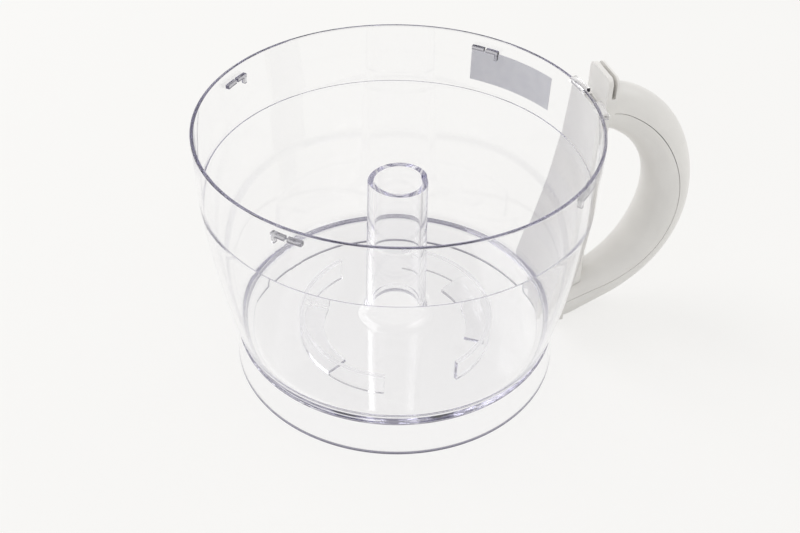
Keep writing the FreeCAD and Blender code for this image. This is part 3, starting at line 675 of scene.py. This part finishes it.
def pale_floor():
    """Pale floor that keeps the shadow and shows the background's colour."""
    half = FLOOR_SIZE / 2.0 / MM
    corners = [(-half, -half, 0.0), (half, -half, 0.0), (half, half, 0.0), (-half, half, 0.0)]
    floor = object_from("floor", corners, [(0, 1, 2, 3)])
    made, nodes, links, shader = material("floor_paper")
    shader.inputs["Roughness"].default_value = 0.9
    shader.inputs["Specular IOR Level"].default_value = 0.1
    grain = noise(nodes, links, 3.0, 2.0)
    colour = colour_between(nodes, links, grain, (0.83, 0.825, 0.81), (0.85, 0.845, 0.83))
    links.new(colour, shader.inputs["Base Color"])
    glow = nodes.new("ShaderNodeEmission")
    glow.inputs["Color"].default_value = BACKGROUND
    path = nodes.new("ShaderNodeLightPath")
    seen = nodes.new("ShaderNodeMath")
    seen.operation = "ADD"
    seen.use_clamp = True
    links.new(path.outputs["Is Camera Ray"], seen.inputs[0])
    through = nodes.new("ShaderNodeMath")
    through.operation = "ADD"
    links.new(path.outputs["Is Glossy Ray"], through.inputs[0])
    links.new(path.outputs["Is Transmission Ray"], through.inputs[1])
    links.new(through.outputs["Value"], seen.inputs[1])
    share = nodes.new("ShaderNodeMath")
    share.operation = "MULTIPLY"
    share.inputs[1].default_value = GLOW_SHARE
    links.new(seen.outputs["Value"], share.inputs[0])
    mix = nodes.new("ShaderNodeMixShader")
    links.new(share.outputs["Value"], mix.inputs["Fac"])
    links.new(shader.outputs["BSDF"], mix.inputs[1])
    links.new(glow.outputs["Emission"], mix.inputs[2])
    links.new(mix.outputs["Shader"], nodes["Material Output"].inputs["Surface"])
    give(floor, made)


def soft_world():
    """Pale surroundings that light the object evenly and show darker overhead in gloss and through edges."""
    world = bpy.data.worlds.new("studio")
    bpy.context.scene.world = world
    world.use_nodes = True
    nodes, links = world.node_tree.nodes, world.node_tree.links
    place = nodes.new("ShaderNodeTexCoord")
    split = nodes.new("ShaderNodeSeparateXYZ")
    links.new(place.outputs["Generated"], split.inputs["Vector"])
    lit = colour_between(nodes, links, split.outputs["Z"], (0.71, 0.71, 0.70), (0.64, 0.64, 0.645), 0.0, 1.0)
    seen = colour_between(nodes, links, split.outputs["Z"], BACKGROUND[:3], (0.40, 0.39, 0.42), 0.1, 0.55)
    path = nodes.new("ShaderNodeLightPath")
    gloss = mixed(nodes, links, path.outputs["Is Diffuse Ray"], seen, lit)
    shown = mixed(nodes, links, path.outputs["Is Camera Ray"], gloss, None)
    links.new(shown, nodes["Background"].inputs["Color"])


def lamp(name, place, size, power):
    """Square area lamp at a place in metres, aimed at the middle of the bowl."""
    light = bpy.data.lights.new(name, "AREA")
    light.shape = "SQUARE"
    light.size = size
    light.energy = power
    thing = bpy.data.objects.new(name, light)
    bpy.context.scene.collection.objects.link(thing)
    thing.location = place
    aim = Vector((0.0, 0.0, 0.06)) - Vector(place)
    thing.rotation_euler = aim.to_track_quat("-Z", "Y").to_euler()


CAMERA_LENS = 49.5
CAMERA_DISTANCE = 539.6
CAMERA_RISE = 38.32
CAMERA_AIM_HEIGHT = 60.0
HANDLE_TURN = 16.3
CAMERA_YAW = -0.25
CAMERA_PITCH = 39.35
CAMERA_ROLL = 1.23


def photo_camera():
    camera = bpy.data.cameras.new("camera")
    camera.lens = CAMERA_LENS
    camera.sensor_width = 36.0
    thing = bpy.data.objects.new("camera", camera)
    bpy.context.scene.collection.objects.link(thing)
    rise = math.radians(CAMERA_RISE)
    back = CAMERA_DISTANCE * math.cos(rise)
    up = CAMERA_DISTANCE * math.sin(rise) + CAMERA_AIM_HEIGHT
    swing = Matrix.Rotation(math.radians(-HANDLE_TURN), 4, "Z")
    place = Matrix.Translation(Vector((0.0, -back, up)) * MM)
    yaw = Matrix.Rotation(math.radians(CAMERA_YAW), 4, "Z")
    pitch = Matrix.Rotation(math.radians(90.0 - CAMERA_PITCH), 4, "X")
    roll = Matrix.Rotation(math.radians(CAMERA_ROLL), 4, "Z")
    thing.matrix_world = swing @ place @ yaw @ pitch @ roll
    bpy.context.scene.camera = thing


photo_camera()
soft_world()
pale_floor()
lamp("key", (-0.9, 0.9, 1.5), 1.4, 16.0)
lamp("fill", (1.2, -0.6, 1.3), 1.2, 6.0)

clear = clear_plastic()
white = moulded_plastic("white_plastic", (0.83, 0.815, 0.785), (0.80, 0.785, 0.755), 0.3)
grey = moulded_plastic("rod_plastic", (0.52, 0.51, 0.49), (0.48, 0.47, 0.45), 0.35)
give(clear_bowl(), clear)
give(outer_shell(), white)
give(inner_shell(), white)
for node, made in (
    ("handle_strap", white),
    ("interlock_rod", grey),
    ("interlock_spring", spring_steel()),
    ("label", label_film()),
):
    give(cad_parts[node], made)

# The clear edges need many bounces, or light that is caught in them ends black

BOUNCES = 96
scene = bpy.context.scene
scene.view_settings.view_transform = "Standard"
scene.cycles.max_bounces = BOUNCES
scene.cycles.transmission_bounces = BOUNCES
scene.cycles.glossy_bounces = BOUNCES
scene.cycles.transparent_max_bounces = BOUNCES

bpy.context.view_layer.update()
